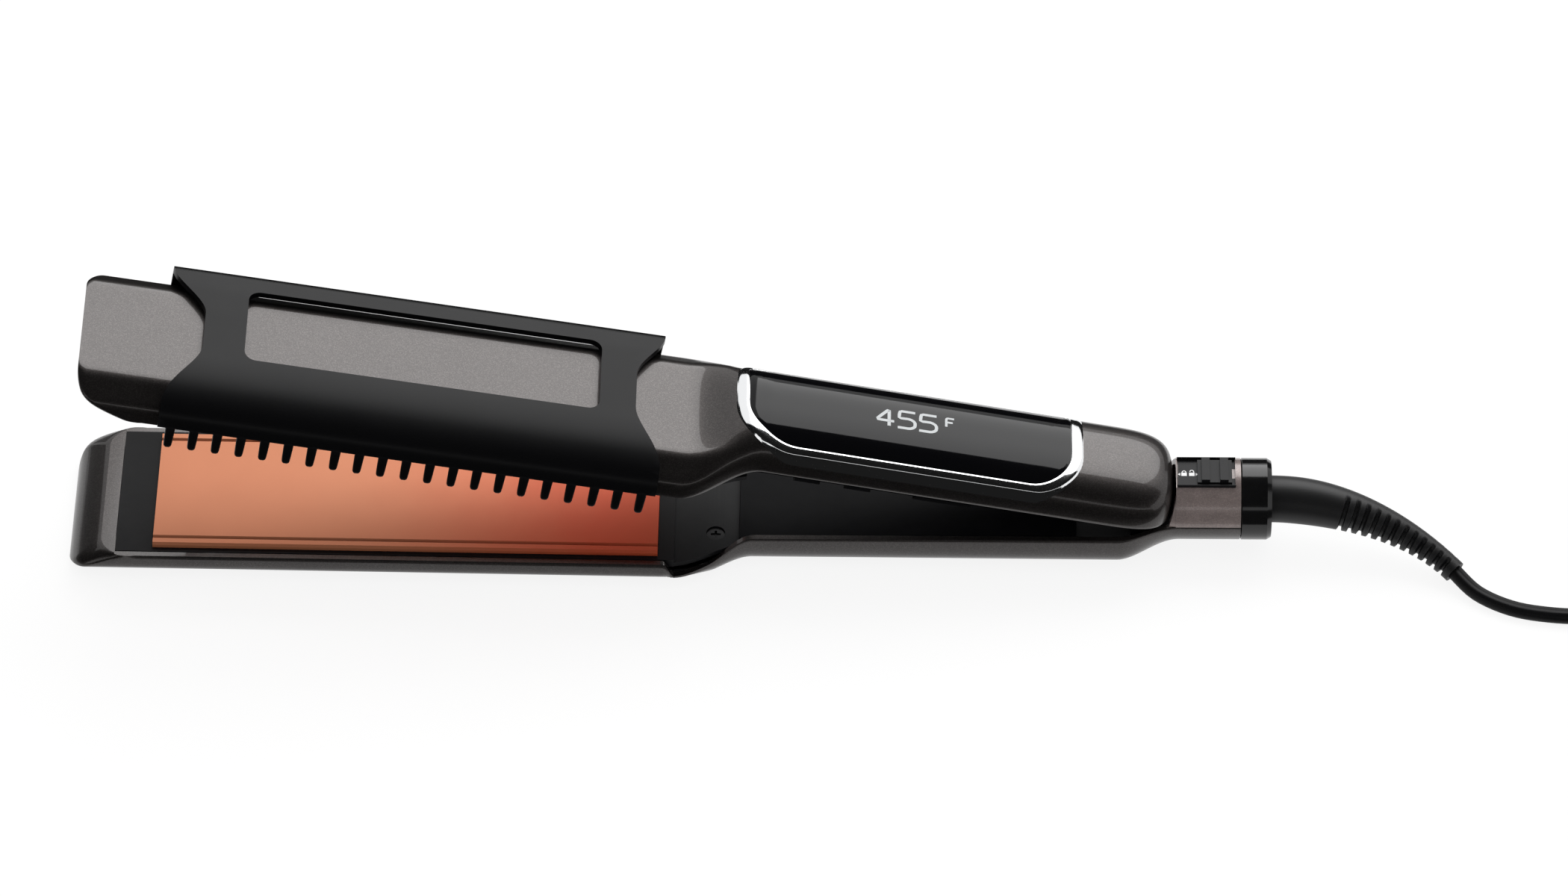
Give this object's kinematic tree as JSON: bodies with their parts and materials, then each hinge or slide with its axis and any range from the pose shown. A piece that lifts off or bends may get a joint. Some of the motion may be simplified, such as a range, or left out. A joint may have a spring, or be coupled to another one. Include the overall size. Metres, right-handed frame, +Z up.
{
  "type": "hair straightener",
  "caption": "Digital flat iron, open, with smooth copper-coloured plates, clip-on comb cover, bright-ringed display, plate lock and swivel mains cord.",
  "frame": {"origin": "on the flat rest face of the lower arm, under the middle of its plate", "axes": "+X along the iron towards its cord, +Y across it away from the comb's teeth, +Z up"},
  "size_m": [0.4419, 0.0613, 0.0665],
  "materials": {
    "casing": "pearl graphite lacquer",
    "carrier": "satin heat-proof plastic",
    "plate": "copper-coloured ceramic coating",
    "ceramic": "matt",
    "pads": "matt silicone",
    "inner_cover": "satin",
    "screw": "satin",
    "barrel": "bronze-grey metallic lacquer",
    "slider": "satin metallic",
    "collar": "high gloss",
    "hinge_plastic": "satin",
    "steel": "satin",
    "bright_ring": "polished",
    "window": "high gloss",
    "module": "matt",
    "board": "satin",
    "buttons": "satin",
    "comb": "matt fine grain",
    "sleeve": "satin",
    "cord_rubber": "satin",
    "plug": "satin",
    "brass": "bright"
  },
  "bodies": {
    "lower_arm": {"lower_casing": "casing", "lower_plate_carrier": "carrier", "lower_plate_pads": "pads", "lower_handle_cover": "inner_cover", "carrier_screws": "screw", "barrel_cover": "barrel", "end_collar": "collar", "hinge_fork": "hinge_plastic", "hinge_pin": "steel", "hinge_spring": "steel"},
    "lower_floating_plate": {"lower_plate": "plate", "lower_heater": "ceramic"},
    "upper_arm": {"upper_casing": "casing", "upper_plate_carrier": "carrier", "upper_plate_pads": "pads", "upper_handle_cover": "inner_cover", "hinge_knuckle": "hinge_plastic", "bezel_ring": "bright_ring", "display_window": "window", "display_module": "module", "control_board": "board"},
    "upper_floating_plate": {"upper_plate": "plate", "upper_heater": "ceramic"},
    "comb": {"comb_cover": "comb", "comb_teeth": "comb"},
    "plate_lock": {"lock_slider": "slider"},
    "swivel": {"swivel_sleeve": "sleeve", "strain_relief": "cord_rubber", "cord": "cord_rubber", "cord_coil": "cord_rubber", "cord_tail": "cord_rubber", "plug_body": "plug", "plug_blades": "brass"},
    "minus_button": {"button_minus": "buttons"},
    "plus_button": {"button_plus": "buttons"},
    "power_button": {"button_power": "buttons"}
  },
  "joints": [
    {"name": "arm_hinge", "type": "hinge", "parent": "lower_arm", "child": "upper_arm", "pos_m": [0.1795, 0, 0.01254], "axis": [0, 1, 0], "range_deg": [-10, 0], "stiffness_Nm_per_rad": 1, "springref_deg": 20.05},
    {"name": "lower_plate_float", "type": "slide", "parent": "lower_arm", "child": "lower_floating_plate", "axis": [0, 0, -1], "range_m": [0, 0.0008], "stiffness_N_per_m": 3000, "springref_m": -0.0006, "deforming": ["lower_plate_pads"]},
    {"name": "upper_plate_float", "type": "slide", "parent": "upper_arm", "child": "upper_floating_plate", "axis": [0.1736, 0, 0.9848], "range_m": [0, 0.0008], "stiffness_N_per_m": 3000, "springref_m": -0.0006, "deforming": ["upper_plate_pads"]},
    {"name": "comb_lift", "type": "slide", "parent": "upper_arm", "child": "comb", "axis": [0.1736, 0, 0.9848], "range_m": [0, 0.03]},
    {"name": "lock_slide", "type": "slide", "parent": "lower_arm", "child": "plate_lock", "axis": [-0.9998, 0, -0.0175], "range_m": [0, 0.0045]},
    {"name": "cord_swivel", "type": "hinge", "parent": "lower_arm", "child": "swivel", "pos_m": [0.2111, 0, 0.01309], "axis": [0.9998, 0, 0.0175], "continuous": true},
    {"name": "minus_press", "type": "slide", "parent": "upper_arm", "child": "minus_button", "axis": [0.1373, 0.7071, 0.6936], "range_m": [0, 0.0006], "stiffness_N_per_m": 400, "springref_m": -0.0008},
    {"name": "plus_press", "type": "slide", "parent": "upper_arm", "child": "plus_button", "axis": [0.1373, 0.7071, 0.6936], "range_m": [0, 0.0006], "stiffness_N_per_m": 400, "springref_m": -0.0008},
    {"name": "power_press", "type": "slide", "parent": "upper_arm", "child": "power_button", "axis": [0.1373, 0.7071, 0.6936], "range_m": [0, 0.0006], "stiffness_N_per_m": 400, "springref_m": -0.0008}
  ]
}
